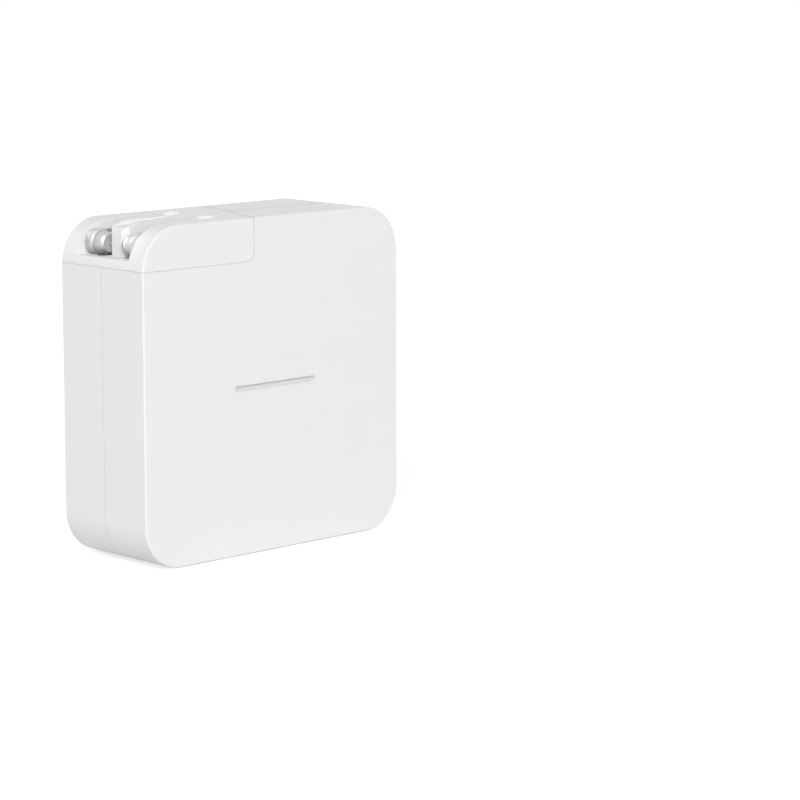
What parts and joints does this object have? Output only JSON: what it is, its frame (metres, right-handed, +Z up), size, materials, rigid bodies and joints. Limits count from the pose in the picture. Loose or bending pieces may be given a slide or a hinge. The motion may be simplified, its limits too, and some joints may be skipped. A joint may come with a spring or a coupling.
{
  "type": "laptop power adapter",
  "caption": "Flat square laptop power adapter with rounded corners, a folding mains plug in one corner and an oval output socket on the opposite narrow side.",
  "frame": {"origin": "middle of the bottom edge face the adapter stands on, where the output socket is", "axes": "+X to the right along the front face, +Y through the thickness towards the rear face, +Z up towards the face the folding plug leaves"},
  "size_m": [0.08, 0.03, 0.08],
  "materials": {
    "housing_white": "fine satin gloss",
    "plug_white": "fine satin gloss",
    "prong_metal": "nickel plated, fine matt grain",
    "hub_plastic": "moulded, grey",
    "pin_steel": "ground",
    "spring_brass": "rolled strip",
    "board_laminate": "solder mask",
    "socket_steel": "deep drawn, satin",
    "socket_tongue": "moulded",
    "contact_gold": "gold flash",
    "black_resin": "moulded resin",
    "blue_resin": "dipped resin",
    "yellow_case": "moulded case",
    "ferrite": "sintered, dull",
    "copper_winding": "enamelled wire",
    "yellow_tape": "winding tape",
    "can_sleeve": "shrunk sleeve",
    "can_aluminium": "drawn can",
    "sheet_aluminium": "mill finish",
    "thermal_silicone": "soft pad",
    "insulating_film": "film"
  },
  "bodies": {
    "adapter": {"front_shell": "housing_white", "rear_shell": "housing_white", "plug_head": "plug_white", "contact_springs": "spring_brass", "input_board": "board_laminate", "port_shell": "socket_steel", "port_tongue": "socket_tongue", "port_contacts": "contact_gold", "output_board": "board_laminate", "main_board": "board_laminate", "fuse": "black_resin", "varistor": "blue_resin", "x_capacitor": "yellow_case", "choke_core": "ferrite", "choke_winding": "copper_winding", "bridge_rectifier": "black_resin", "bulk_capacitors": "can_sleeve", "boost_core": "ferrite", "boost_winding": "copper_winding", "primary_heatsink": "sheet_aluminium", "power_transistors": "black_resin", "transformer_core": "ferrite", "transformer_winding": "yellow_tape", "thermal_pad": "thermal_silicone", "optocoupler": "black_resin", "y_capacitor": "blue_resin", "controller_chips": "black_resin", "output_capacitors": "can_aluminium", "output_inductor": "copper_winding", "heat_spreader": "sheet_aluminium", "insulating_sheets": "insulating_film"},
    "prongs": {"prong_front": "prong_metal", "prong_rear": "prong_metal", "hub_front": "hub_plastic", "hub_rear": "hub_plastic", "washer_front": "hub_plastic", "washer_rear": "hub_plastic", "pivot_pin": "pin_steel"}
  },
  "joints": [
    {"name": "prong_fold", "type": "hinge", "parent": "adapter", "child": "prongs", "pos_m": [-0.0344, 0, 0.0747], "axis": [0, -1, 0], "range_deg": [0, 90]}
  ]
}
